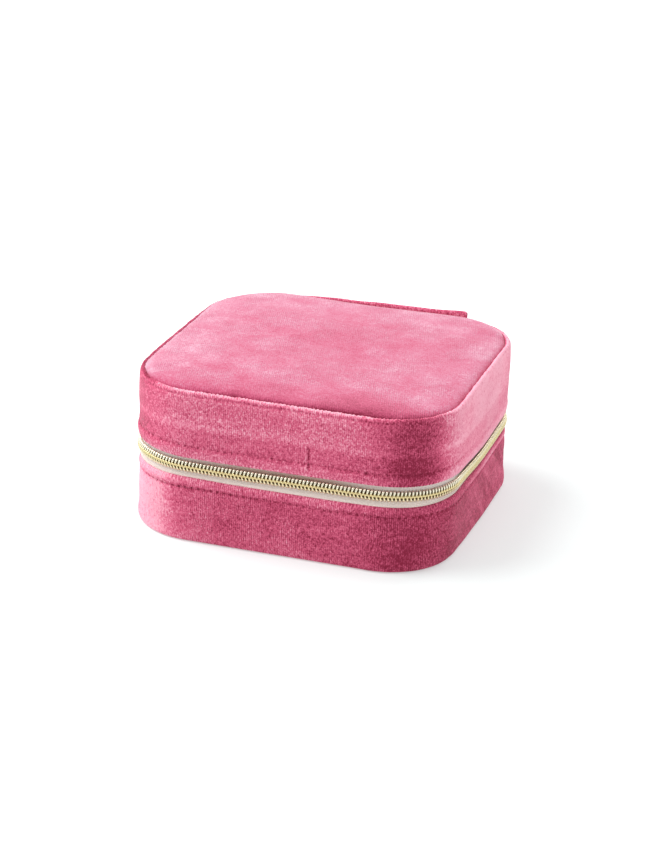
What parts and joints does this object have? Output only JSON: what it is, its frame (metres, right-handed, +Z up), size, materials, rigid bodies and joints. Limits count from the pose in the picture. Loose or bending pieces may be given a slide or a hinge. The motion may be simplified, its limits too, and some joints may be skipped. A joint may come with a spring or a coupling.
{
  "type": "jewelry box",
  "caption": "Square zip-around travel jewelry box in padded velvet, with a hinged lid, ring rolls and compartments inside.",
  "frame": {"origin": "centre of the underside of the box body, on the surface it stands on", "axes": "+Z up through the lid, +X to the right along the front, the front with the zip towards -Y and the hinge towards +Y"},
  "size_m": [0.104, 0.0993, 0.0491],
  "materials": {
    "velvet": "short pile velvet with a directional nap, rose pink",
    "lining": "suede-like short pile lining, soft pink",
    "padding": "open-cell foam wadding, hidden",
    "board": "grey board, hidden",
    "zip_tape": "woven off-white zip tape",
    "zip_coil": "metallised gold coil",
    "zip_metal": "polished pale gold plating",
    "mirror": "silvered, ground edge"
  },
  "bodies": {
    "base": {"base_board": "board", "base_side_foam": "padding", "base_side_velvet": "velvet", "base_bottom_velvet": "velvet", "base_lining": "lining", "floor_pad": "lining", "divider_long": "lining", "divider_left": "lining", "divider_right": "lining", "ring_roll_rear": "lining", "ring_roll_middle": "lining", "ring_roll_front": "lining", "zip_tape_base": "zip_tape", "zip_coil_base": "zip_coil", "zip_stop_base": "zip_metal", "hinge_patch_base": "velvet"},
    "lid": {"lid_board": "board", "lid_side_foam": "padding", "lid_top_foam": "padding", "lid_side_velvet": "velvet", "lid_top_velvet": "velvet", "lid_lining": "lining", "mirror_panel": "lining", "mirror": "mirror", "zip_tape_lid": "zip_tape", "zip_coil_lid": "zip_coil", "zip_stop_lid": "zip_metal", "hinge_patch_lid": "velvet"},
    "slider": {"zip_slider": "zip_metal"},
    "pull": {"zip_pull": "zip_metal"}
  },
  "joints": [
    {"name": "lid_hinge", "type": "hinge", "parent": "base", "child": "lid", "pos_m": [0, 0.049, 0.0239], "axis": [-1, 0, 0], "range_deg": [0, 110]},
    {"name": "slider_travel", "type": "slide", "parent": "base", "child": "slider", "axis": [0, -1, 0], "range_m": [0, 0.043]},
    {"name": "pull_swing", "type": "hinge", "parent": "slider", "child": "pull", "pos_m": [-0.052, 0.02425, 0.0239], "axis": [1, 0, 0], "range_deg": [-35, 80]}
  ]
}
